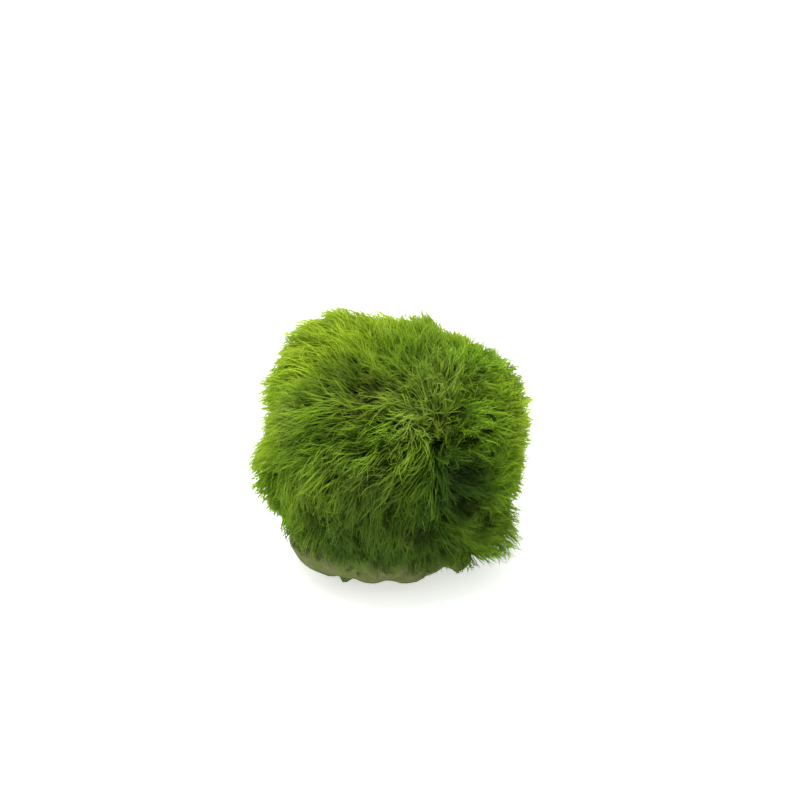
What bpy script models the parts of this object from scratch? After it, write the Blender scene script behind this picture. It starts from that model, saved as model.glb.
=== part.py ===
"""A marimo moss ball about 50 mm across, resting on its own small flat spot.

The ball grew as one body of matted green filaments, so it is one solid. Its coat is parted on
the front right and combed away from there in locks, which hang a little lower down. The solid
reaches the tips of the filaments. Metres, +Z up, the front towards -Y, the origin on the
surface under the middle of the ball.
"""

import math
import random

import bmesh
import bpy
from mathutils import Vector, noise

# The ball under its locks
BODY_HALF_WIDTH = 0.0216
BODY_HALF_DEPTH = 0.0214
BODY_HALF_HEIGHT = 0.0212
SQUARENESS = 2.35  # exponent of the superellipsoid, 2 would be an ellipsoid
MIDDLE_HEIGHT = 0.0205
ROUGHNESS_HEIGHT = 0.0005
ROUGHNESS_FREQUENCY = 3.2

# Swellings and hollows of the ball: azimuth and elevation of the middle in degrees, rise, and
# angular spread in degrees. Azimuth 0 is the front, 90 the right side.
SWELLINGS = [
    (104, 27, 0.0020, 24),  # back right shoulder
    (-121, 48, 0.0032, 28),  # back left shoulder
    (150, 62, 0.0021, 9),  # tuft at the end of the crown
    (66, -41, 0.0030, 13),  # lower right corner
    (-66, -44, 0.0018, 12),  # lower left corner
    (-84, -10, 0.0018, 14),  # left bulge
    (-18, -56, 0.0009, 21),  # front of the foot
    (160, 20, 0.0012, 30),  # back
]
HOLLOWS = [
    (-96, 15, -0.0026, 11),  # left waist
    (180, 64, -0.0013, 11),  # crown
    (122, 48, -0.0025, 12),  # step right of the crown
    (-74, -30, -0.0037, 12),  # notch under the left bulge
    (86, -12, -0.0015, 13),  # right waist
    (44, -54, -0.0020, 13),  # lower right front
    (-14, 40, -0.0009, 11),  # dimple in front of the crown
    (38, 16, -0.0013, 15),  # middle of the parting
    (30, -14, -0.0010, 13),  # foot of the parting
]

# The parting, from its upper end to its lower one: azimuth and elevation in degrees
PARTING_TOP = (45, 40)
PARTING_FOOT = (29, -8)
PARTING_SPREAD = 34  # degrees over which the locks go from standing to lying
STANDING_REACH = 0.35  # reach of a lock at the parting, as a share of a lying one's

# The combing bends downwards lower on the ball. Places are shares of the radius.
DROOP = 1.5  # pull of gravity on the front and left
DROOP_RIGHT = 0.45  # and on the right side
RIGHT_SIDE = (0.3, 0.8)  # to the right, where the one goes over into the other
DROOP_HEIGHTS = (0.55, -0.35)  # where the droop begins, and where it is full
TOUSLE = 0.34
TOUSLE_FREQUENCY = 2.1
TOUSLE_SHIFTS = ((5.3, 0.4, 8.7), (0.9, 7.1, 3.6), (2.8, 4.5, 0.2))  # one for X, Y and Z

# Locks of filaments
LOCK_COUNT = 390
LOCK_HALF_WIDTH = 0.00175
LOCK_ROOT_WIDTH = 0.75  # at the root, as a share of the half width
LOCK_TAPER = 0.8  # exponent, 1 would be a straight cone
LOCK_TIP_HALF_WIDTH = 0.0002
LOCK_REACH = 0.0088  # along the surface
LOCK_LIFT = 0.0021  # of the tip above the body
LOCK_SINK = 0.0013  # of the root below it
LOCK_POINTS = 5
LOCK_SIZES = (0.78, 1.18)  # smallest and largest lock
LOCK_LIFTS = (0.65, 1.25)  # flattest and most raised
ROOT_SHAKE = 0.05  # of the roots from their even places, as a share of the radius
LOWEST_LOCK_ELEVATION = -40
MATTED_FROM_ELEVATION = -8  # below this the locks lie flatter, down to the base
MATTED_LIFT = 0.3
SEED = 7

# The fused solid
VOXEL = 0.00055
KEPT_SHARE = 0.088  # of the fused faces, to leave under 10,000 triangles
SOFTENING = 0.5
SOFTENING_ROUNDS = 2
WELD_DISTANCE = 1e-6
MOSS_GREEN = (0.098, 0.176, 0.020, 1.0)
MOSS_ROUGHNESS = 0.6


def direction(azimuth, elevation):
    """Unit vector from the ball's middle. Azimuth 0 looks to the front and 90 to the right."""
    a = math.radians(azimuth)
    e = math.radians(elevation)
    return Vector((math.sin(a) * math.cos(e), -math.cos(a) * math.cos(e), math.sin(e)))


def body_radius(n):
    """Distance from the middle to the ball's body along the unit vector n."""
    share = (
        abs(n.x / BODY_HALF_WIDTH) ** SQUARENESS
        + abs(n.y / BODY_HALF_DEPTH) ** SQUARENESS
        + abs(n.z / BODY_HALF_HEIGHT) ** SQUARENESS
    )
    radius = share ** (-1 / SQUARENESS)
    for azimuth, elevation, rise, spread in SWELLINGS + HOLLOWS:
        angle = math.degrees(n.angle(direction(azimuth, elevation)))
        radius += rise * math.exp(-((angle / spread) ** 2))
    return radius + ROUGHNESS_HEIGHT * noise.noise(n * ROUGHNESS_FREQUENCY)


def along_surface(vector, n):
    """The part of a vector that runs along the surface at n."""
    return vector - n * vector.dot(n)


def nearest_on_parting(n):
    """Unit vector to the place on the parting that is nearest to n."""
    top = direction(*PARTING_TOP)
    line = direction(*PARTING_FOOT) - top
    share = min(max((n - top).dot(line) / line.length_squared, 0), 1)
    return (top + line * share).normalized()


def smooth_step(value, start, end):
    """0 at start and 1 at end, with a soft change between."""
    share = min(max((value - start) / (end - start), 0), 1)
    return share * share * (3 - 2 * share)


def tousle(n):
    """A vector along the surface that changes softly from place to place."""
    shifted = [n * TOUSLE_FREQUENCY + Vector(shift) for shift in TOUSLE_SHIFTS]
    return along_surface(Vector([noise.noise(place) for place in shifted]), n) * TOUSLE


def combing(n):
    """Unit vector along the surface at n, the way the filaments lie there."""
    away = along_surface(n - nearest_on_parting(n), n)
    droop = DROOP + (DROOP_RIGHT - DROOP) * smooth_step(n.x, *RIGHT_SIDE)
    droop *= smooth_step(n.z, *DROOP_HEIGHTS)
    pull = along_surface(Vector((0, 0, -1)), n) * droop
    return (away.normalized() + pull + tousle(n)).normalized()


def even_directions(count):
    """Unit vectors spread evenly over a ball, along a spiral from top to bottom."""
    golden = math.pi * (3 - math.sqrt(5))
    for i in range(count):
        z = 1 - (2 * i + 1) / count
        ring = math.sqrt(1 - z * z)
        yield Vector((ring * math.cos(golden * i), ring * math.sin(golden * i), z))


def clear_scene():
    for obj in list(bpy.data.objects):
        bpy.data.objects.remove(obj)


def new_collection(name):
    collection = bpy.data.collections.new(name)
    bpy.context.scene.collection.children.link(collection)
    return collection


def moss_material():
    material = bpy.data.materials.new("moss_green")
    material.use_nodes = True
    shader = material.node_tree.nodes["Principled BSDF"]
    shader.inputs["Base Color"].default_value = MOSS_GREEN
    shader.inputs["Roughness"].default_value = MOSS_ROUGHNESS
    shader.inputs["Metallic"].default_value = 0.0
    material.diffuse_color = MOSS_GREEN
    return material


def body_mesh():
    """The ball without its locks, round its own middle."""
    bm = bmesh.new()
    bmesh.ops.create_icosphere(bm, subdivisions=5, radius=1)
    for vertex in bm.verts:
        n = vertex.co.normalized()
        vertex.co = n * body_radius(n)
    mesh = bpy.data.meshes.new("body")
    bm.to_mesh(mesh)
    bm.free()
    return mesh


def lock_path(root, reach, lift):
    """Points from a lock's sunken root to its tip, and the lock's half width at each."""
    way = combing(root)
    turn = reach / body_radius(root)
    for i in range(LOCK_POINTS):
        t = i / (LOCK_POINTS - 1)
        n = (root * math.cos(turn * t) + way * math.sin(turn * t)).normalized()
        rise = -LOCK_SINK + (lift + LOCK_SINK) * (1 - (1 - t) ** 2)
        width = LOCK_HALF_WIDTH * (LOCK_ROOT_WIDTH + t) * (1 - t) ** LOCK_TAPER
        yield n * (body_radius(n) + rise), width + LOCK_TIP_HALF_WIDTH


def lock_curve():
    """All the locks as one curve object, a tapered spline for each."""
    curve = bpy.data.curves.new("locks", "CURVE")
    curve.dimensions = "3D"
    curve.bevel_depth = 1.0
    curve.bevel_resolution = 1
    curve.use_fill_caps = True
    rng = random.Random(SEED)
    for n in even_directions(LOCK_COUNT):
        shake = Vector([rng.uniform(-1, 1) for _ in range(3)]) * ROOT_SHAKE
        root = (n + shake).normalized()
        size = rng.uniform(*LOCK_SIZES)
        lift = LOCK_LIFT * rng.uniform(*LOCK_LIFTS)
        elevation = math.degrees(math.asin(root.z))
        if elevation < LOWEST_LOCK_ELEVATION:
            continue
        flat = smooth_step(elevation, MATTED_FROM_ELEVATION, LOWEST_LOCK_ELEVATION)
        lift *= 1 + (MATTED_LIFT - 1) * flat
        off_parting = math.degrees(root.angle(nearest_on_parting(root)))
        lying = min(off_parting / PARTING_SPREAD, 1)
        reach = LOCK_REACH * size * (STANDING_REACH + (1 - STANDING_REACH) * lying)
        spline = curve.splines.new("POLY")
        spline.points.add(LOCK_POINTS - 1)
        for point, (place, width) in zip(spline.points, lock_path(root, reach, lift), strict=True):
            point.co = (*place, 1)
            point.radius = width * size
    return bpy.data.objects.new("locks", curve)


def joined_mesh(body, locks):
    """The body and the meshed locks in one mesh, still overlapping."""
    bpy.context.scene.collection.objects.link(locks)
    graph = bpy.context.evaluated_depsgraph_get()
    lock_mesh = bpy.data.meshes.new_from_object(locks.evaluated_get(graph))
    bm = bmesh.new()
    bm.from_mesh(lock_mesh)
    bmesh.ops.remove_doubles(bm, verts=bm.verts, dist=WELD_DISTANCE)
    bm.from_mesh(body)
    bmesh.ops.translate(bm, verts=bm.verts, vec=(0, 0, MIDDLE_HEIGHT))
    mesh = bpy.data.meshes.new("moss_ball")
    bm.to_mesh(mesh)
    bm.free()
    bpy.data.objects.remove(locks)
    return mesh


def floor_cutter(collection):
    """A block under the resting surface, whose top is the flat spot."""
    size = 4 * BODY_HALF_WIDTH
    bm = bmesh.new()
    bmesh.ops.create_cube(bm, size=size)
    bmesh.ops.translate(bm, verts=bm.verts, vec=(0, 0, -size / 2))
    mesh = bpy.data.meshes.new("floor_cutter")
    bm.to_mesh(mesh)
    bm.free()
    cutter = bpy.data.objects.new("floor_cutter", mesh)
    cutter.hide_render = True
    cutter.display_type = "WIRE"
    collection.objects.link(cutter)
    return cutter


def fuse(ball, cutter):
    """Modifiers that grow the locks into the body, thin the faces and cut the flat spot."""
    remesh = ball.modifiers.new("fuse_locks", "REMESH")
    remesh.mode = "VOXEL"
    remesh.voxel_size = VOXEL
    smooth = ball.modifiers.new("soften", "SMOOTH")
    smooth.factor = SOFTENING
    smooth.iterations = SOFTENING_ROUNDS
    thin = ball.modifiers.new("fewer_faces", "DECIMATE")
    thin.ratio = KEPT_SHARE
    cut = ball.modifiers.new("flat_spot", "BOOLEAN")
    cut.operation = "DIFFERENCE"
    cut.object = cutter


def centre_over_origin(ball):
    """Moves the ball sideways so that the middle of its box is over the origin."""
    bpy.context.view_layer.update()
    graph = bpy.context.evaluated_depsgraph_get()
    corners = [Vector(c) for c in ball.evaluated_get(graph).bound_box]
    middle = sum(corners, Vector()) / len(corners)
    ball.location = (-middle.x, -middle.y, 0)


def main():
    clear_scene()
    parts = new_collection("marimo_moss_ball")
    cutters = new_collection("cutters")
    ball = bpy.data.objects.new("moss_ball", joined_mesh(body_mesh(), lock_curve()))
    ball.data.materials.append(moss_material())
    parts.objects.link(ball)
    fuse(ball, floor_cutter(cutters))
    centre_over_origin(ball)
    ball.data.shade_smooth()


main()
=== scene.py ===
"""The looks of a marimo moss ball: a felted mat, and over it a coat of fine algae filaments.

The filaments stand in locks, which are combed away from a parting on the front right. Lengths
are in metres and angles in degrees, in the frame of the CAD model, which stands on Z = 0.
Places on the ball are unit vectors from its middle, with +X right, -Y to the front and +Z up.
A function that is given n takes any number of them.
"""

import math

import bpy
import numpy as np
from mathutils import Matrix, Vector, noise
from mathutils.bvhtree import BVHTree
from mathutils.kdtree import KDTree


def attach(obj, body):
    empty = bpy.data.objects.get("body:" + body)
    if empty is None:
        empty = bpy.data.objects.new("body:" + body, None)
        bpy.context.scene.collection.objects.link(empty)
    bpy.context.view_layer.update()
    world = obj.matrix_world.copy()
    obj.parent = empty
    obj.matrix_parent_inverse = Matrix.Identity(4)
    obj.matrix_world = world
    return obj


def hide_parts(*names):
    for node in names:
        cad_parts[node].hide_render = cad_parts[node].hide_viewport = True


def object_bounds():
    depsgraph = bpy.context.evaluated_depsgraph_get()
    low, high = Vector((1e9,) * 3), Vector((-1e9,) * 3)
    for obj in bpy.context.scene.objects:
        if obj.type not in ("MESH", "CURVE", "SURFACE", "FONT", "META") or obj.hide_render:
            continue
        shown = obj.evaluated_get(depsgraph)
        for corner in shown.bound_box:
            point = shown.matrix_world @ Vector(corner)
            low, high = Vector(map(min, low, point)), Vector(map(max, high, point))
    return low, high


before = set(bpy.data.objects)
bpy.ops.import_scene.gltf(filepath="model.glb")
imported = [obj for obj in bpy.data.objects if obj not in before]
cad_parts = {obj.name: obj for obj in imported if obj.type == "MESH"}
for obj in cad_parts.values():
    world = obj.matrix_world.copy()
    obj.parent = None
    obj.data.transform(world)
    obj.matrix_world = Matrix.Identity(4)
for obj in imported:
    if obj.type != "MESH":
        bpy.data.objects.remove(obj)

CAD_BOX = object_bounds()
SURFACE = BVHTree.FromObject(
    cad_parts["moss_ball"], bpy.context.evaluated_depsgraph_get()
)
MIDDLE = np.array((CAD_BOX[0] + CAD_BOX[1]) / 2)
RADIUS = (CAD_BOX[1].x - CAD_BOX[0].x) / 2
SEED = 11

# The combing. The parting runs up the front right. Left of it the filaments lie to the left,
# and lower on the ball they turn down. Right of it they stand out to the right, and lower on
# the ball a little upwards. On the crown they lie back.
PARTING_X = 0.50
PARTING_X_TOP = 0.70
PARTING_BENDS = (0.20, 0.80)  # heights between which it goes over to the second place
PARTING_WANDER = 0.12
PARTING_NOISE = (4.0, 5.0)  # frequency and shift
PARTING_BAND = (-0.28, 0.25)  # from lying left to standing right, beside the parting
TURN_HEIGHTS = (0.62, -0.42)  # between these they turn
TURNS_LEFT = (0, 102)  # angle from the left downwards, at the upper and the lower height
TURNS_RIGHT = (180, 195)
EARLY_TURN = 0.7  # below 1 the ones on the left turn mostly near the upper height
PULL_RIGHT = 0.5  # as a share of the pull on the left
RIM_PLACES = (0.6, 0.95)  # to the far left, over which the pull downwards gets weaker
RIM_HEIGHTS = (-0.50, -0.15)  # and the heights over which it does
RIM_DROOP = 0.35  # share of it that is left there
CROWN = (0.62, 0.85)  # heights over which the pull to the back grows
CROWN_BACK = 0.55
CROWN_RIGHT = (-0.4, 0.8)  # right of the parting, the pull to the right and to the back
TOP = (0.88, 1.0)  # heights over which the pull to the left fades
TOP_SIDEWAYS = 0.45
SHORTEST_PULL = 0.25
TOUSLES = ((2.4, 0.30), (6.0, 0.32), (15.0, 0.22))  # frequency and strength
TOUSLE_SHIFTS = (3.1, 7.7, 12.9)  # for X, Y and Z

# The matted foot, a cap round this direction, and how thick the coat is there and elsewhere
FOOT_DIRECTION = (-78, -78)  # azimuth and elevation
FOOT_ANGLES = (55, 45)  # from there to where it begins, and to where it is fully matted
FOOT_WANDER = 5.0  # of its edge
FOOT_NOISE = (5.0, 9.0)  # frequency and shift
FOOT_FRINGE = (68, 51)  # over these the filaments get shorter towards the foot
FRINGE_REACH = 0.22
FRINGE_SINK = 0.0005  # by this the tips dip into the felt
# The foot's grey is partly wet moss and partly painted shadow where the ball meets the floor
WET_AND_PAINTED_SHADOW_ANGLES = (54, 44)  # over these the filaments turn from green to the foot's grey
COAT_DEPTH = 0.0050
FOOT_DEPTH = 0.0004
TIPS_OUT = 0.0002  # of the highest tips, beyond the solid

# How the solid is measured. Each distance is the largest of one ray and a ring round it, which
# evens out the solid's own locks
GRID_STEP = 2.0
RING_ANGLE = 3.5  # as wide as one of those locks
RING_STEP = 60  # from ray to ray round the ring
ODD_WAY = (0.31, 0.87, 0.38)  # along none of the rays

# Tufts
TUFT_COUNT = 700
TUFT_JITTER = 0.04  # of their middles
TUFT_LEAN = 0.30  # sideways, of one tuft from the next
TUFT_GATHER = 0.35  # share by which a lock's tip is drawn to the middle of its tuft
TUFT_SINK = 0.0014  # how much lower the lowest tufts are

# Locks
LOCK_COUNT = 9300  # if they were as close all over the ball as they are away from the parting
PARTING_LOCKS = 1.6  # how much denser they are at the parting, where they spread apart
PARTING_NEAR = 0.15  # the distance from it over which they thin out
LOCK_JITTER = 0.02  # of their roots
LOWEST_LOCK = -68  # elevation
LOCK_STEPS = 8
LOCK_REACH = 0.0056  # along the surface
LOCK_REACHES = (0.75, 1.2)  # shares of it
LOCK_LEAN = 0.35
LOCK_CURL = 0.55
LOCK_SINK = 0.0015
LOCK_ROOT_RADIUS = 0.0010
LOCK_TIP_RADIUS = 0.00060
LOCK_RISE = 1.2  # the higher it is, the nearer to its root a lock gets up
LYING_RISE = 0.7  # added to that where the locks lie flat
SHORT_SIDE = (0.30, 0.55)  # to the right, over which they get shorter
SHORT_REACH = 0.36
SHORT_DISORDER = 1.8  # how much more they lean and curl there
SHORT_SPREAD = 0.5  # share of the tip's radius that is left there
SHORT_SINK = 0.8  # share of the sinks that is left there
LOCK_HEAD = -3  # the point of a lock's path where its visible part is

# Filaments
FILAMENTS_IN_LOCK = 4
FILAMENT_LENGTHS = (0.65, 1.08)  # shares of the lock's
FILAMENT_WIDTH = 0.00020
FILAMENT_WIDTHS = (0.8, 1.25)  # shares of it
FILAMENT_TAPER = 2.4  # the higher, the nearer to its tip a filament gets thin
FILAMENT_RINGS = 5
TUBE_SIDES = 3
BEND = 0.0009  # of a filament's tip from a straight one
FRIZZ = 0.00008
STRAY_SHARE = 0.06
STRAY_LENGTHS = (1.10, 1.35)
STRAY_FADE = 5  # how fast they get fewer towards the foot
LENGTH_PAST_END = 0.005  # that one more lock's length adds past the lock's end
SECTORS = ("front", "front_right", "back_right", "back", "back_left", "front_left")

# Places on the ball: azimuth, from the front to the right, elevation and width, all angles, and
# the amount there, which is full up to the first of these shares of the width and nothing
# beyond the second
FULL_WIDTH = 0.4
WHOLE_WIDTH = 1.6

# How far the tips sink in, and the share of shade for each metre that they do
HOLLOWS = (
    (-12, 75, 4, 0.0020), (-28, 54, 4, 0.0014), (-10, 51, 4, 0.0026), (-26, 45, 3, 0.0020),
    (-16, 25, 4, 0.0018), (-2, 24, 3, 0.0020), (5, 10, 3, 0.0022), (-27, 13, 3, 0.0018),
    (44, 34, 3, 0.0030), (34, 25, 4, 0.0024), (38, 6, 6, 0.0030), (34, -6, 4, 0.0026),
    (15, -19, 5, 0.0030), (48, -17, 4, 0.0028), (60, -8, 3, 0.0018), (-33, -12, 4, 0.0016),
    (-51, -41, 7, 0.0012),
)
HOLLOW_SHADE = 250.0

# How far the tips stand out from the solid, or below 0 how far in
OUTGROWTHS = (
    (95, 5, 26, 0.0006), (113, 40, 14, 0.0009), (122, 48, 8, -0.0012), (140, 58, 5, -0.0028),
    (153, 62, 4, 0.0010), (-178, 66, 8, 0.0006), (-148, 61, 7, -0.0006), (-118, 45, 7, 0.0008),
    (-98, 18, 6, 0.0030), (-83, 2, 8, 0.0003), (-80, -20, 9, 0.0022), (71, -33, 8, 0.0016),
    (78, -21, 6, 0.0016), (60, -45, 6, 0.0014),
)

# How far places on the matted foot stand out, or below 0 how far in
FOOT_POINTS = (
    (46, -50, 1.6, 0.0010), (-33, -56, 1.8, 0.0015), (67, -31, 1.6, 0.0010), (14, -62, 8, -0.0021),
)

# Shares of other colours, and of painted shade and painted light
# Painted shade: darker green at the parting and over the lower front, where shade falls
PAINTED_SHADE_SPOTS = (
    (36, 3, 14, 1.0), (30, 15, 7, 0.5), (6, -24, 33, 0.85), (-46, 56, 11, 0.5),
    (-28, 56, 8, 0.2), (-44, 9, 8, 0.2), (44, 34, 5, 0.5), (-14, 4, 10, 0.5),
    (-54, 40, 7, 0.4), (-36, 22, 7, 0.3), (-28, -18, 11, 0.35),
)
# Painted light: places lightened towards a pale green, which lifts the coat's shade there
PAINTED_LIGHT_SPOTS = (
    (12, 46, 16, 0.8), (50, 58, 14, 0.8), (8, 28, 9, 0.5), (-62, 24, 10, 0.8),
    (-38, 40, 7, 0.4), (-20, 0, 20, 0.25),
)
OLIVES = ((-13, 50, 9, 0.9), (-24, 37, 7, 0.8), (28, 32, 6, 0.9))
# Yellower, lighter sides at the rims and the upper left: partly yellow moss, partly painted light
YELLOW_AND_PAINTED_LIGHT_SIDES = (
    (-108, 52, 36, 1.0), (90, 6, 23, 1.0), (86, -24, 13, 0.8), (-84, 8, 17, 0.9),
    (-80, -22, 9, 0.6), (150, 45, 28, 0.6), (-72, 14, 10, 0.4),
)
OLIVE_LEAST = 0.2  # share of the amount in OLIVES that the greenest lock there still has
OLIVE_SPOTS = 0.22  # share of olive in spots all over the ball
OLIVE_NOISE = (4.5, 33.0)  # frequency and shift
OLIVE_LEVELS = (0.18, 0.5)  # of that noise, over which a spot begins
OLIVE_SCATTER = 0.12  # of those levels, from lock to lock
YELLOW_AND_PAINTED_LIGHT_BLOTCHES = 0.5  # how much the sunny sides vary
YELLOW_AND_PAINTED_LIGHT_NOISE = (3.0, 21.0)  # frequency and shift

# How light the filaments are, of 0 to 1
MIDDLE_TONE = 0.5
TUFT_TONE = 0.35
LOCK_TONE = 0.25
FILAMENT_TONE = 0.4
TONE_CONTRASTS = (0.45, 1.2)  # on the long side and on the short side
LIGHTNESS = (0.6, 1.4)  # what the colours are multiplied by, at tones of 0 and 1

# The filaments' colours deep in the coat, nearer to its surface, and at its surface. The darker
# colours deeper in are painted shade
SHADE_HEIGHTS = (0.2, 0.7, 1.0)
GREEN = ((0.108, 0.210, 0.009), (0.200, 0.370, 0.015), (0.300, 0.490, 0.024))
YELLOW = ((0.190, 0.310, 0.011), (0.350, 0.530, 0.018), (0.560, 0.700, 0.050))
BROWN = ((0.078, 0.092, 0.018), (0.185, 0.220, 0.028), (0.320, 0.360, 0.052))
# GREY, at the foot, is partly wet moss and partly painted shadow
GREY = ((0.070, 0.088, 0.022), (0.140, 0.178, 0.038), (0.220, 0.270, 0.060))
# Painted shade towards each filament's root
ROOT_SHADE = 0.3  # how much deeper a filament's root looks than its tip
# What the painted shade multiplies the colour by
PAINTED_SHADE_TINT = (0.25, 0.33, 0.6)
SHADE_TINT = (0.30, 0.32, 0.40)
# The pale green of the painted light
PAINTED_LIGHT_GREEN = (0.42, 0.58, 0.08)
PAINTED_LIGHT_SHARE = 0.6  # where the share of pale green is 1
TRANSLUCENCE = 0.4
FILAMENT_ROUGHNESS = 0.55
FILAMENT_SPECULAR = 0.15

# The felted mat: its colours in the felt's gaps and on its threads
MAT_SUBDIVISIONS = 6
MAT_SMOOTHING = 0.5
MAT_SMOOTHINGS = 6
FELT_ABOVE = ((0.040, 0.090, 0.007), (0.090, 0.190, 0.014))
# The foot's olive and green felt: partly wet moss, partly painted shadow
FELT_OLIVE = ((0.050, 0.058, 0.018), (0.145, 0.152, 0.060))
FELT_GREEN = ((0.045, 0.070, 0.010), (0.110, 0.150, 0.030))
FELT_NOISE = (900.0, 6.0)  # frequency per metre, and detail
FELT_HEIGHT = 0.0004
FELT_BUMP = 0.8
GREEN_NOISE = (260.0, 4.0)  # frequency per metre, and detail
GREEN_LEVELS = (0.42, 0.62)  # of that noise, over which the foot's olive goes over to green
FELT_ROUGHNESS = 0.8
FELT_SPECULAR = 0.1

# Each filament's patch of the baked picture: shares of the patch's width and height
PATCH_TALLNESS = 3
PATCH_SIDES = (0.08, 0.92)
PATCH_HEIGHTS = (0.12, 0.97)  # of the sides
PATCH_FOOT = (0.02, 0.08)  # of the root's end face

# The studio
FLOOR_SIZE = 12
FLOOR_COLOUR = (0.92, 0.92, 0.91)
FLOOR_ROUGHNESS = 0.9
FLOOR_GLOW = 0.55
WHITE = (1, 1, 1)
SKY_SEEN = 1.0  # by the camera
SKY_LIGHT = 0.9
LAMP_PLACE = (-0.15, 0.05, 0.85)
LAMP_SIZE = 0.5
LAMP_POWER = 13.0

# The photograph's view
CAMERA_ELEVATION = 25
CAMERA_DISTANCE = 0.42
CAMERA_NEAREST = 0.01
FRAME_WIDTH_PIXELS = 800
FRAME_MIDDLE_PIXEL = (400, 399.5)
BALL_MIDDLE_PIXEL = (390, 447)
BALL_MIDDLE = Vector((0, 0, 0.0216))
METRES_PER_PIXEL = 0.050 / 280  # at the ball's middle

# Numbers of the Mix node's sockets for colours
MIX_A, MIX_B, MIX_RESULT = 6, 7, 2


def between(start, end, share):
    return start + (end - start) * share


def smooth_step(values, start, end):
    share = np.clip((values - start) / (end - start), 0, 1)
    return share * share * (3 - 2 * share)


def unit(vectors):
    return vectors / np.linalg.norm(vectors, axis=-1, keepdims=True)


def dots(a, b):
    return np.sum(a * b, axis=-1, keepdims=True)


def angles_between(a, b):
    """Angles between unit vectors."""
    return np.degrees(np.arccos(np.clip(dots(a, b), -1, 1)))


def along_surface(vectors, n):
    """The part of each vector that runs along the surface whose normal is n."""
    return vectors - n * dots(vectors, n)


def direction(azimuth, elevation):
    """Unit vector from the ball's middle."""
    a, e = np.radians(azimuth), np.radians(elevation)
    return np.stack((np.sin(a) * np.cos(e), -np.cos(a) * np.cos(e), np.sin(e)), -1)


def azimuths(n):
    return np.degrees(np.arctan2(n[..., :1], -n[..., 1:2]))


def elevations(n):
    return np.degrees(np.arcsin(np.clip(n[..., 2:], -1, 1)))


def even_directions(count):
    """Unit vectors spread evenly over a ball, along a spiral from top to bottom."""
    number = np.arange(count)
    z = 1 - (2 * number + 1) / count
    ring = np.sqrt(1 - z * z)
    turn = number * math.pi * (3 - math.sqrt(5))
    return np.stack((ring * np.cos(turn), ring * np.sin(turn), z), -1)


def soft_noise(n, frequency, shift):
    """Noise of -1 to 1 at each place. Another shift gives another pattern."""
    flat = n.reshape(-1, 3) * frequency + shift
    values = [noise.noise(Vector(point)) for point in flat]
    return np.array(values).reshape(*n.shape[:-1], 1)


def amounts(n, places):
    """What these places give at n: each its amount in its middle, fading out over its width."""
    total = 0
    for azimuth, elevation, width, amount in places:
        angle = angles_between(n, direction(azimuth, elevation))
        total = total + amount * smooth_step(angle, WHOLE_WIDTH * width, FULL_WIDTH * width)
    return total


def beside_parting(n):
    """How far n lies to the right of the parting."""
    place = between(PARTING_X, PARTING_X_TOP, smooth_step(n[..., 2:], *PARTING_BENDS))
    return n[..., :1] - place + soft_noise(n, *PARTING_NOISE) * PARTING_WANDER


def combing(n):
    """The way the filaments lie at n, along the surface. It is short where they stand."""
    height = n[..., 2:]
    turned = np.clip((height - TURN_HEIGHTS[0]) / (TURN_HEIGHTS[1] - TURN_HEIGHTS[0]), 0, 1)
    crown = smooth_step(height, *CROWN)
    top = smooth_step(height, *TOP)
    right = smooth_step(beside_parting(n), *PARTING_BAND)
    sideways = down = 0
    for turns, share, strength in (
        (TURNS_LEFT, turned**EARLY_TURN, (1 - right) * between(1, TOP_SIDEWAYS, top)),
        (TURNS_RIGHT, turned, right * PULL_RIGHT * (1 - crown)),
    ):
        turn = np.radians(between(*turns, share))
        sideways = sideways - np.cos(turn) * strength
        down = down + np.sin(turn) * strength
    rim = smooth_step(-n[..., :1], *RIM_PLACES) * smooth_step(height, *RIM_HEIGHTS)
    down = down * between(1, RIM_DROOP, rim)
    sideways = sideways + CROWN_RIGHT[0] * crown * right
    back = crown * between(CROWN_BACK, CROWN_RIGHT[1], right)
    pull = np.concatenate((sideways, back, -down), -1)
    for frequency, strength in TOUSLES:
        parts = [soft_noise(n, frequency, shift) for shift in TOUSLE_SHIFTS]
        pull = pull + np.concatenate(parts, -1) * strength
    pull = along_surface(pull, n)
    length = np.linalg.norm(pull, axis=-1, keepdims=True)
    return pull / length * np.clip(length, SHORTEST_PULL, 1)


def short_side(n):
    """0 where the locks are long, 1 where they are short, on the right."""
    return smooth_step(n[..., :1], *SHORT_SIDE)


def foot_angles(n):
    return angles_between(n, direction(*FOOT_DIRECTION))


def matted(n):
    """0 where the coat is loose, 1 on the matted foot."""
    return smooth_step(foot_angles(n) + soft_noise(n, *FOOT_NOISE) * FOOT_WANDER, *FOOT_ANGLES)


def fringes(n):
    """0 in the loose coat, 1 where it has got short at the foot."""
    return smooth_step(foot_angles(n), *FOOT_FRINGE)


def coat_depths(n):
    """How deep the coat is at n: deep on the upper part, and thin at the matted foot."""
    return between(COAT_DEPTH, FOOT_DEPTH, matted(n))


def measure_solid():
    """Distances from the ball's middle to the hull of the CAD solid's locks, on a grid."""
    azimuth = np.arange(0, 360, GRID_STEP)
    elevation = np.arange(-90, 90 + GRID_STEP / 2, GRID_STEP)
    e, a = np.meshgrid(elevation, azimuth, indexing="ij")
    n = direction(a, e).reshape(-1, 3)
    side = unit(np.cross(n, ODD_WAY))
    turns = np.radians(np.arange(0, 360, RING_STEP))
    ring = [side * math.cos(turn) + np.cross(n, side) * math.sin(turn) for turn in turns]
    wide = math.tan(math.radians(RING_ANGLE))
    middle = Vector(MIDDLE)
    far = 2 * RADIUS
    radii = []
    for offset in [n * 0] + ring:
        ways = unit(n + offset * wide)
        hits = [SURFACE.ray_cast(middle + Vector(way) * far, -Vector(way))[3] for way in ways]
        radii.append(far - np.array(hits))
    return np.max(radii, axis=0).reshape(e.shape)


SOLID_RADII = measure_solid()


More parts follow.
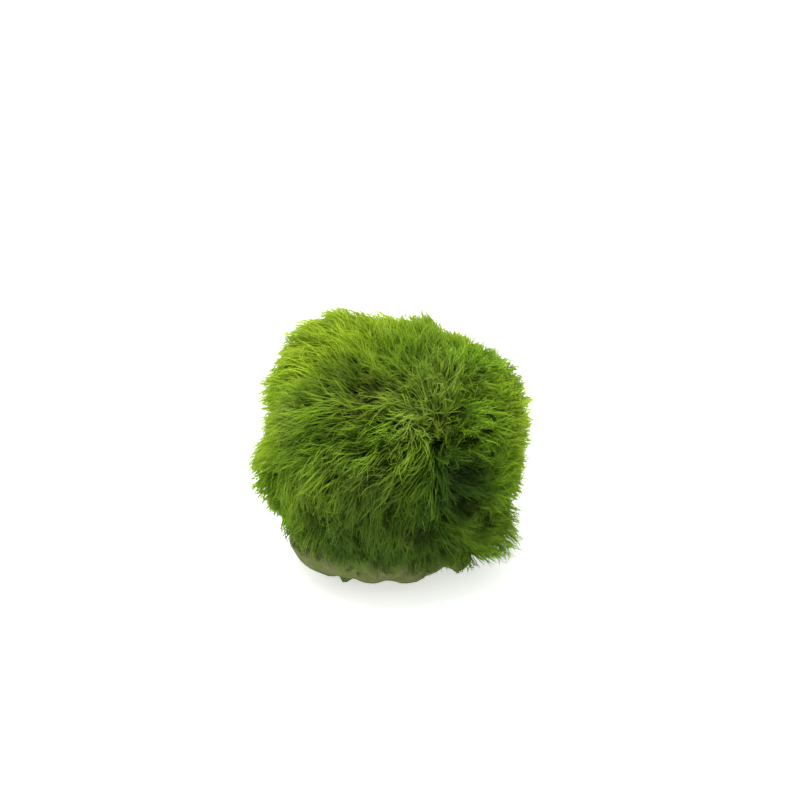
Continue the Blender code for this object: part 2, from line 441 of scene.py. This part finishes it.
def tip_radii(n):
    """Distance from the ball's middle along n to the hull of the CAD solid's locks."""
    row = (elevations(n)[..., 0] + 90) / GRID_STEP
    column = azimuths(n)[..., 0] % 360 / GRID_STEP
    low_row = np.clip(row.astype(int), 0, SOLID_RADII.shape[0] - 2)
    low_column = column.astype(int) % SOLID_RADII.shape[1]
    next_column = (low_column + 1) % SOLID_RADII.shape[1]
    part_row, part_column = row - low_row, column - np.floor(column)
    radii = 0
    for rows, row_share in ((low_row, 1 - part_row), (low_row + 1, part_row)):
        for columns, share in ((low_column, 1 - part_column), (next_column, part_column)):
            radii = radii + SOLID_RADII[rows, columns] * row_share * share
    return radii[..., None]


def lock_roots(rng):
    """Unit vectors to the roots of the locks."""
    n = even_directions(int(LOCK_COUNT * PARTING_LOCKS))
    n = unit(n + rng.uniform(-1, 1, n.shape) * LOCK_JITTER)
    nearness = np.exp(-((beside_parting(n) / PARTING_NEAR) ** 2))
    chance = between(1, PARTING_LOCKS, nearness) / PARTING_LOCKS
    chance = chance * (1 - matted(n))
    kept = (rng.uniform(0, 1, (len(n), 1)) < chance) & (elevations(n) > LOWEST_LOCK)
    return n[kept[:, 0]]


def tufts(n, rng):
    """For each lock rooted at n: its tuft's middle, lean, and two numbers of 0 to 1."""
    middles = even_directions(TUFT_COUNT)
    middles = unit(middles + rng.normal(0, TUFT_JITTER, middles.shape))
    tree = KDTree(TUFT_COUNT)
    for number, middle in enumerate(middles):
        tree.insert(middle, number)
    tree.balance()
    mine = [tree.find(Vector(place))[1] for place in n]
    leans = rng.normal(0, TUFT_LEAN, middles.shape)
    return middles[mine], leans[mine], rng.uniform(0, 1, (TUFT_COUNT, 2))[mine]


def lock_ways(n, middle, lean, rng):
    """For each lock rooted at n unit vectors to the points of its path, from root to tip."""
    short = short_side(n)
    reach = LOCK_REACH * rng.uniform(*LOCK_REACHES, (len(n), 1))
    reach = reach * between(1, FRINGE_REACH, fringes(n)) * between(1, SHORT_REACH, short)
    disorder = between(1, SHORT_DISORDER, short)
    lean = (lean + rng.normal(0, LOCK_LEAN, n.shape)) * disorder
    curl = rng.normal(0, LOCK_CURL, n.shape) * disorder
    ways = [n]
    for step in range(LOCK_STEPS):
        here = ways[-1]
        pull = combing(here) + along_surface(lean + curl * (2 * step / LOCK_STEPS - 1), here)
        move = pull * reach / RADIUS + along_surface(middle - n, here) * TUFT_GATHER
        ways.append(unit(here + move / LOCK_STEPS))
    return np.stack(ways, 1)


def lock_paths(rng):
    """For each lock the points of its path, from root to tip, and its tuft's tone."""
    n = lock_roots(rng)
    middle, lean, numbers = tufts(n, rng)
    ways = lock_ways(n, middle, lean, rng)
    tip = ways[:, -1]
    sink = TUFT_SINK * numbers[:, :1] ** 2 + LOCK_SINK * rng.uniform(0, 1, (len(n), 1)) ** 2
    sink = sink * between(1, SHORT_SINK, short_side(n))
    root_radius = tip_radii(n) - coat_depths(n)
    tip_radius = tip_radii(tip) + amounts(tip, OUTGROWTHS) + (TIPS_OUT - sink) * (1 - matted(tip))
    tip_radius = tip_radius - FRINGE_SINK * fringes(tip)
    share = np.linspace(0, 1, LOCK_STEPS + 1)[None, :, None]
    lying = np.linalg.norm(combing(n), axis=-1)[:, None, None]
    rise = 1 - (1 - share) ** (LOCK_RISE + LYING_RISE * lying)
    radius = between(root_radius[:, None], tip_radius[:, None], rise)
    radius = radius - amounts(ways, HOLLOWS) * share
    return MIDDLE + ways * radius, numbers[:, 1]


def points_on(paths, share):
    """The points at shares of each path, and unit vectors along, across and out from it."""
    steps = paths.shape[1] - 1
    place = np.clip(share, 0, 1) * steps
    low = np.minimum(place.astype(int), steps - 1)
    part = (place - low)[..., None]
    row = np.arange(len(paths))[:, None]
    start, end = paths[row, low], paths[row, low + 1]
    along = unit(end - start)
    past_end = (np.maximum(share, 1) - 1)[..., None]
    points = between(start, end, part) + along * past_end * LENGTH_PAST_END
    out = unit(points - MIDDLE)
    across = unit(np.cross(along, out))
    return points, along, across, np.cross(across, along)


def scatter(radius, count, rng):
    """Places in a disc, each as two distances from its middle."""
    angle = rng.uniform(0, 2 * math.pi, (count, 1))
    distance = radius * np.sqrt(rng.uniform(0, 1, (count, 1)))
    return distance * np.cos(angle), distance * np.sin(angle)


def filament_paths(locks, rng):
    """Points of each filament from root to tip, and the number of its lock."""
    lock = np.repeat(np.arange(len(locks)), FILAMENTS_IN_LOCK)
    count = len(lock)
    length = rng.uniform(*FILAMENT_LENGTHS, (count, 1))
    loose = 1 - fringes(unit(locks[:, -1] - MIDDLE))[lock]
    stray = rng.uniform(0, 1, (count, 1)) < STRAY_SHARE * loose**STRAY_FADE
    length = np.where(stray, rng.uniform(*STRAY_LENGTHS, (count, 1)), length)
    share = np.linspace(0, 1, FILAMENT_RINGS + 1)[None]
    points, along, across, out = points_on(locks[lock], share * length)
    root_along, root_across = scatter(LOCK_ROOT_RADIUS, count, rng)
    spread = between(1, SHORT_SPREAD, short_side(unit(locks[:, 0] - MIDDLE)))[lock]
    tip_out, tip_across = scatter(LOCK_TIP_RADIUS * spread, count, rng)
    closing = 1 - share
    points = points + along * (root_along * closing)[..., None]
    points = points + across * (root_across * closing + tip_across * share)[..., None]
    points = points + out * (tip_out * share)[..., None]
    bend = rng.normal(0, BEND, (count, 1, 2)) * share[..., None] ** 2
    frizz = rng.normal(0, FRIZZ, (count, FILAMENT_RINGS + 1, 2)) * share[..., None]
    stir = bend + frizz
    points = points + across * stir[..., :1] + out * stir[..., 1:] * loose[..., None]
    return points, lock


def ring_widths(count, rng):
    """Half widths of each filament at its rings, thinning towards the tip."""
    share = np.linspace(0, 1, FILAMENT_RINGS + 1)[None, :-1]
    width = FILAMENT_WIDTH / 2 * rng.uniform(*FILAMENT_WIDTHS, (count, 1))
    return width * (1 - share**FILAMENT_TAPER)


def tube_vertices(points, widths):
    """For each tube the corners of its rings and then its tip, none of them under the floor."""
    count, rings = widths.shape
    along = unit(np.gradient(points, axis=1))
    across = unit(np.cross(along, unit(points - MIDDLE)))
    out = np.cross(across, along)
    corners = []
    for side in range(TUBE_SIDES):
        angle = side * 2 * math.pi / TUBE_SIDES
        offset = across * math.cos(angle) - out * math.sin(angle)
        corners.append(points[:, :-1] + offset[:, :-1] * widths[..., None])
    corners = np.stack(corners, 2).reshape(count, rings * TUBE_SIDES, 3)
    vertices = np.concatenate((corners, points[:, -1:]), 1)
    vertices[..., 2] = np.maximum(vertices[..., 2], 0)
    return vertices


def tube_faces(rings):
    """Corner numbers of the faces of one tube: its sides, those at its tip, and its root's end."""
    faces = []
    for ring in range(rings - 1):
        for side in range(TUBE_SIDES):
            after = (side + 1) % TUBE_SIDES
            low, high = TUBE_SIDES * ring, TUBE_SIDES * (ring + 1)
            faces.append((low + side, low + after, high + after, high + side))
    last, tip = TUBE_SIDES * (rings - 1), TUBE_SIDES * rings
    for side in range(TUBE_SIDES):
        faces.append((last + side, last + (side + 1) % TUBE_SIDES, tip))
    faces.append(tuple(reversed(range(TUBE_SIDES))))
    return faces


def tube_uvs(rings):
    """For the corners of the same faces their places on the tube's own patch of the picture."""
    across = np.linspace(*PATCH_SIDES, TUBE_SIDES + 1)
    up = np.linspace(*PATCH_HEIGHTS, rings + 1)
    uvs = []
    for ring in range(rings - 1):
        for side in range(TUBE_SIDES):
            left, right, low, high = across[side], across[side + 1], up[ring], up[ring + 1]
            uvs += [(left, low), (right, low), (right, high), (left, high)]
    for side in range(TUBE_SIDES):
        left, right = across[side], across[side + 1]
        uvs += [(left, up[-2]), (right, up[-2]), ((left + right) / 2, up[-1])]
    (left, right), (low, high) = PATCH_SIDES, PATCH_FOOT
    return np.array(uvs + [(left, low), (right, low), (right, high)])


def patch_places(count):
    """The lower left corner of each tube's patch, and the size of the patches."""
    columns = math.ceil(math.sqrt(count * PATCH_TALLNESS))
    rows = math.ceil(count / columns)
    number = np.arange(count)
    size = np.array((1 / columns, 1 / rows))
    return np.stack((number % columns, number // columns), -1) * size, size


def tube_mesh(name, vertices, rings):
    """One mesh of the tubes that have these vertices, each with its patch of the picture."""
    count, per_tube = vertices.shape[:2]
    pattern = tube_faces(rings)
    loops = np.concatenate(pattern)[None] + np.arange(count)[:, None] * per_tube
    sizes = np.tile([len(face) for face in pattern], count)
    starts = np.cumsum(sizes) - sizes
    mesh = bpy.data.meshes.new(name)
    mesh.vertices.add(count * per_tube)
    mesh.vertices.foreach_set("co", vertices.astype(np.float32).ravel())
    mesh.loops.add(loops.size)
    mesh.loops.foreach_set("vertex_index", loops.astype(np.int32).ravel())
    mesh.polygons.add(len(sizes))
    mesh.polygons.foreach_set("loop_start", starts.astype(np.int32))
    mesh.update(calc_edges=True)
    mesh.shade_smooth()
    corner, size = patch_places(count)
    uvs = corner[:, None] + tube_uvs(rings)[None] * size
    mesh.uv_layers.new(name="OFBake").data.foreach_set("uv", uvs.astype(np.float32).ravel())
    return mesh


def store(mesh, name, values):
    """Keeps a number for each vertex, for the materials to read."""
    mesh.attributes.new(name, "FLOAT", "POINT").data.foreach_set("value", values.astype(np.float32))


def filament_mesh(name, points, widths, values):
    """One closed, tapered tube along each row of points, all in one mesh with its values."""
    vertices = tube_vertices(points, widths)
    count, per_tube = vertices.shape[:2]
    rings = widths.shape[1]
    mesh = tube_mesh(name, vertices, rings)
    share = np.append(np.repeat(np.arange(rings) / rings, TUBE_SIDES), 1.0)
    store(mesh, "along", np.tile(share, count))
    from_middle = vertices - MIDDLE
    radii = np.linalg.norm(from_middle, axis=-1, keepdims=True)
    # How deep each point lies in the coat, which the finish darkens as painted shade
    sunk = (tip_radii(from_middle / radii) - radii) / COAT_DEPTH
    store(mesh, "sunk", np.clip(sunk, 0, 1).ravel())
    for key, numbers in values.items():
        store(mesh, key, np.repeat(numbers, per_tube))
    return mesh


class Link:
    """A socket in a material. Arithmetic on it adds Math nodes."""

    def __init__(self, finish, socket):
        self.finish = finish
        self.socket = socket

    def math(self, operation, *numbers):
        return self.finish.node("Math", {"operation": operation}, dict(enumerate(numbers)))

    def __add__(self, other):
        return self.math("ADD", self, other)

    def __sub__(self, other):
        return self.math("SUBTRACT", self, other)

    def __rsub__(self, other):
        return self.math("SUBTRACT", other, self)

    def __mul__(self, other):
        return self.math("MULTIPLY", self, other)

    __radd__ = __add__
    __rmul__ = __mul__


class Finish:
    """A material under construction, with one method that adds any node."""

    def __init__(self, name):
        self.material = bpy.data.materials.new(name)
        self.material.use_nodes = True
        self.tree = self.material.node_tree
        self.shader = self.tree.nodes["Principled BSDF"]
        self.output = self.tree.nodes["Material Output"]

    def node(self, kind, settings=None, inputs=None, output=0):
        node = self.tree.nodes.new("ShaderNode" + kind)
        for name, value in (settings or {}).items():
            if name == "stops":
                self.set_stops(node.color_ramp, value)
            else:
                setattr(node, name, value)
        self.set(node, inputs or {})
        return Link(self, node.outputs[output])

    def set(self, node, inputs):
        """Gives a node's sockets their values, or links them."""
        for name, value in inputs.items():
            if isinstance(value, Link):
                self.tree.links.new(value.socket, node.inputs[name])
            else:
                node.inputs[name].default_value = value

    def set_stops(self, ramp, stops):
        while len(ramp.elements) < len(stops):
            ramp.elements.new(0.5)
        for element, (position, stop_colour) in zip(ramp.elements, stops, strict=True):
            element.position = position
            element.color = colour(stop_colour)

    def mix(self, share, a, b, blend="MIX"):
        """Colour a turned into b by share."""
        settings = {"data_type": "RGBA", "blend_type": blend}
        inputs = {0: share, MIX_A: colour(a), MIX_B: colour(b)}
        return self.node("Mix", settings, inputs, MIX_RESULT)

    def map_range(self, value, inputs):
        return self.node("MapRange", None, {"Value": value, **inputs})

    def attribute(self, name):
        return self.node("Attribute", {"attribute_name": name}, output="Fac")

    def noise(self, scale, detail):
        where = self.node("TexCoord", output="Object")
        return self.node("TexNoise", None, {"Vector": where, "Scale": scale, "Detail": detail})


def colour(value):
    return value if isinstance(value, Link) else (*value, 1)


def filament_finish():
    """Translucent green filaments: dark at the root, as painted shade, and yellow-green at the tip.
    """
    finish = Finish("moss_filaments")
    # How near the coat's surface each point is; lower ones get the darker colours of painted shade
    height = 1 - finish.attribute("sunk") + ROOT_SHADE * (finish.attribute("along") - 1)

    # A ramp from the deep colours to the surface ones, which paints shade deeper in the coat
    def painted_depth_ramp(colours):
        stops = list(zip(SHADE_HEIGHTS, colours, strict=True))
        return finish.node("ValToRGB", {"stops": stops}, {"Fac": height})

    # Yellow moss and painted light on some sides
    base = finish.mix(finish.attribute("sunny"), painted_depth_ramp(GREEN), painted_depth_ramp(YELLOW))
    # Painted shade at the parting and on the lower front
    base = finish.mix(finish.attribute("deep"), base, PAINTED_SHADE_TINT, "MULTIPLY")
    # Painted light in places
    base = finish.mix(PAINTED_LIGHT_SHARE * finish.attribute("pale"), base, PAINTED_LIGHT_GREEN)
    base = finish.mix(finish.attribute("olive"), base, painted_depth_ramp(BROWN))
    base = finish.mix(finish.attribute("shade"), base, SHADE_TINT, "MULTIPLY")
    # Grey at the foot: partly wet moss, partly painted shadow
    base = finish.mix(finish.attribute("wet"), base, painted_depth_ramp(GREY))
    limits = {"To Min": LIGHTNESS[0], "To Max": LIGHTNESS[1]}
    light = finish.map_range(finish.attribute("tone"), limits)
    base = finish.node("VectorMath", {"operation": "SCALE"}, {0: base, "Scale": light})
    constants = {"Roughness": FILAMENT_ROUGHNESS, "Specular IOR Level": FILAMENT_SPECULAR}
    finish.set(finish.shader, {"Base Color": base, **constants})
    opaque = Link(finish, finish.shader.outputs[0])
    glow = finish.node("BsdfTranslucent", None, {"Color": base})
    both = finish.node("MixShader", None, {0: TRANSLUCENCE, 1: opaque, 2: glow})
    finish.set(finish.output, {"Surface": both})
    return finish.material


def mat_finish():
    """The felt between the roots, dark above and olive grey at the foot, partly wet and partly
    painted shadow.
    """
    finish = Finish("moss_mat")
    felt = finish.noise(*FELT_NOISE)
    limits = {"From Min": GREEN_LEVELS[0], "From Max": GREEN_LEVELS[1]}
    greenish = finish.map_range(finish.noise(*GREEN_NOISE), limits)
    foot = finish.mix(greenish, finish.mix(felt, *FELT_OLIVE), finish.mix(felt, *FELT_GREEN))
    base = finish.mix(finish.attribute("wet"), finish.mix(felt, *FELT_ABOVE), foot)
    heights = {"Height": felt, "Distance": FELT_HEIGHT, "Strength": FELT_BUMP}
    bump = finish.node("Bump", None, heights)
    constants = {"Roughness": FELT_ROUGHNESS, "Specular IOR Level": FELT_SPECULAR}
    finish.set(finish.shader, {"Base Color": base, "Normal": bump, **constants})
    return finish.material


def deselect_all():
    bpy.ops.object.select_all(action="DESELECT")


def make_mat():
    """The felted ball under the coat: a sphere whose points are moved out to the locks' roots."""
    deselect_all()
    bpy.ops.mesh.primitive_ico_sphere_add(
        subdivisions=MAT_SUBDIVISIONS, radius=RADIUS / 2, location=Vector(MIDDLE)
    )
    mat = bpy.context.object
    mat.name = mat.data.name = "moss_mat"
    bpy.ops.object.transform_apply(location=True, rotation=True, scale=True)
    points = np.array([vertex.co for vertex in mat.data.vertices])
    n = unit(points - MIDDLE)
    points = MIDDLE + n * (tip_radii(n) - coat_depths(n))
    mat.data.vertices.foreach_set("co", points.astype(np.float32).ravel())
    smooth = mat.modifiers.new("even_out", "SMOOTH")
    smooth.factor = MAT_SMOOTHING
    smooth.iterations = MAT_SMOOTHINGS
    bpy.ops.object.modifier_apply(modifier=smooth.name)
    for vertex, way, extra in zip(mat.data.vertices, n, amounts(n, FOOT_POINTS)[:, 0], strict=True):
        vertex.co += Vector(way) * extra
        vertex.co.z = max(vertex.co.z, 0)
    bpy.ops.object.shade_smooth()
    # The foot's share: wet moss, and painted shadow where the ball meets the floor
    store(mat.data, "wet", matted(n)[:, 0])
    mat.data.materials.append(mat_finish())
    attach(mat, "root")
    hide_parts("moss_ball")


def lock_colours(heads, rng):
    """Shares of each lock's colours, of painted light and of painted shade, by where its visible
    part is.
    """
    count = len(heads)
    # Blotches in the yellow and painted light of those sides
    blotch = 1 + YELLOW_AND_PAINTED_LIGHT_BLOTCHES * soft_noise(heads, *YELLOW_AND_PAINTED_LIGHT_NOISE)
    level = soft_noise(heads, *OLIVE_NOISE) + rng.normal(0, OLIVE_SCATTER, (count, 1))
    olive = amounts(heads, OLIVES) * rng.uniform(OLIVE_LEAST, 1, (count, 1))
    shares = {
        "sunny": amounts(heads, YELLOW_AND_PAINTED_LIGHT_SIDES) * blotch,
        "olive": np.maximum(smooth_step(level, *OLIVE_LEVELS) * OLIVE_SPOTS, olive),
        "wet": smooth_step(foot_angles(heads), *WET_AND_PAINTED_SHADOW_ANGLES),
        "deep": amounts(heads, PAINTED_SHADE_SPOTS),
        "pale": amounts(heads, PAINTED_LIGHT_SPOTS),
        "shade": amounts(heads, HOLLOWS) * HOLLOW_SHADE,
    }
    return {name: np.clip(share, 0, 1) for name, share in shares.items()}


def filament_tones(heads, lock, tuft_tone, rng):
    """How light each filament is: partly by its tuft, partly by its lock and partly its own."""
    lock_tone = rng.uniform(0, 1, len(heads))[lock]
    own_tone = rng.uniform(0, FILAMENT_TONE, len(lock))
    tone = TUFT_TONE * tuft_tone[lock] + LOCK_TONE * lock_tone + own_tone
    contrast = between(*TONE_CONTRASTS, short_side(heads))[lock, 0]
    return MIDDLE_TONE + (tone - MIDDLE_TONE) * contrast


def make_coat():
    """The filaments, one piece for each sector of the ball."""
    rng = np.random.default_rng(SEED)
    locks, tuft_tone = lock_paths(rng)
    points, lock = filament_paths(locks, rng)
    widths = ring_widths(len(points), rng)
    heads = unit(locks[:, LOCK_HEAD] - MIDDLE)
    values = {name: share[lock, 0] for name, share in lock_colours(heads, rng).items()}
    values["tone"] = filament_tones(heads, lock, tuft_tone, rng)
    angle = 360 / len(SECTORS)
    sector = ((azimuths(heads)[lock, 0] + angle / 2) % 360 // angle).astype(int)
    finish = filament_finish()
    for number, name in enumerate(SECTORS):
        mine = sector == number
        own = {key: value[mine] for key, value in values.items()}
        mesh = filament_mesh("coat_" + name, points[mine], widths[mine], own)
        mesh.materials.append(finish)
        coat = bpy.data.objects.new("coat_" + name, mesh)
        bpy.context.scene.collection.objects.link(coat)
        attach(coat, "root")


def make_floor():
    """A pale floor that glows a little, so that it looks as white as the photograph's."""
    deselect_all()
    bpy.ops.mesh.primitive_plane_add(size=FLOOR_SIZE)
    floor = bpy.context.object
    floor.name = floor.data.name = "floor"
    finish = Finish("pale_floor")
    glow = {"Emission Color": colour(WHITE), "Emission Strength": FLOOR_GLOW}
    plain = {"Base Color": colour(FLOOR_COLOUR), "Roughness": FLOOR_ROUGHNESS}
    finish.set(finish.shader, {**plain, **glow})
    floor.data.materials.append(finish.material)


def make_lamp():
    """A square soft lamp overhead, which faces the ball."""
    light = bpy.data.lights.new("overhead", "AREA")
    light.size = LAMP_SIZE
    light.energy = LAMP_POWER
    lamp = bpy.data.objects.new("overhead", light)
    lamp.location = LAMP_PLACE
    lamp.rotation_euler = (BALL_MIDDLE - lamp.location).to_track_quat("-Z", "Y").to_euler()
    bpy.context.scene.collection.objects.link(lamp)


def make_sky():
    """A dim white studio all round, which looks plain white to the camera."""
    world = bpy.data.worlds.new("white_studio")
    world.use_nodes = True
    tree = world.node_tree
    lighting = tree.nodes["Background"]
    seen = tree.nodes.new("ShaderNodeBackground")
    for background, strength in ((lighting, SKY_LIGHT), (seen, SKY_SEEN)):
        background.inputs["Color"].default_value = colour(WHITE)
        background.inputs["Strength"].default_value = strength
    path = tree.nodes.new("ShaderNodeLightPath")
    both = tree.nodes.new("ShaderNodeMixShader")
    tree.links.new(path.outputs["Is Camera Ray"], both.inputs[0])
    tree.links.new(lighting.outputs[0], both.inputs[1])
    tree.links.new(seen.outputs[0], both.inputs[2])
    tree.links.new(both.outputs[0], tree.nodes["World Output"].inputs["Surface"])
    bpy.context.scene.world = world


def make_camera():
    """The camera at the photograph's angle, framed so that the ball lies where it does there."""
    e = math.radians(CAMERA_ELEVATION)
    back = Vector((0, -math.cos(e), math.sin(e)))
    up = Vector((0, math.sin(e), math.cos(e)))
    right = Vector((1, 0, 0))
    aim = BALL_MIDDLE.copy()
    aim += right * (FRAME_MIDDLE_PIXEL[0] - BALL_MIDDLE_PIXEL[0]) * METRES_PER_PIXEL
    aim += up * (BALL_MIDDLE_PIXEL[1] - FRAME_MIDDLE_PIXEL[1]) * METRES_PER_PIXEL
    data = bpy.data.cameras.new("camera")
    data.lens = data.sensor_width * CAMERA_DISTANCE / (FRAME_WIDTH_PIXELS * METRES_PER_PIXEL)
    data.clip_start = CAMERA_NEAREST
    camera = bpy.data.objects.new("camera", data)
    camera.location = aim + back * CAMERA_DISTANCE
    camera.rotation_euler = back.to_track_quat("Z", "Y").to_euler()
    bpy.context.scene.collection.objects.link(camera)
    bpy.context.scene.camera = camera


make_camera()
make_sky()
make_lamp()
make_floor()
make_mat()
make_coat()
bpy.context.scene.view_settings.view_transform = "Standard"
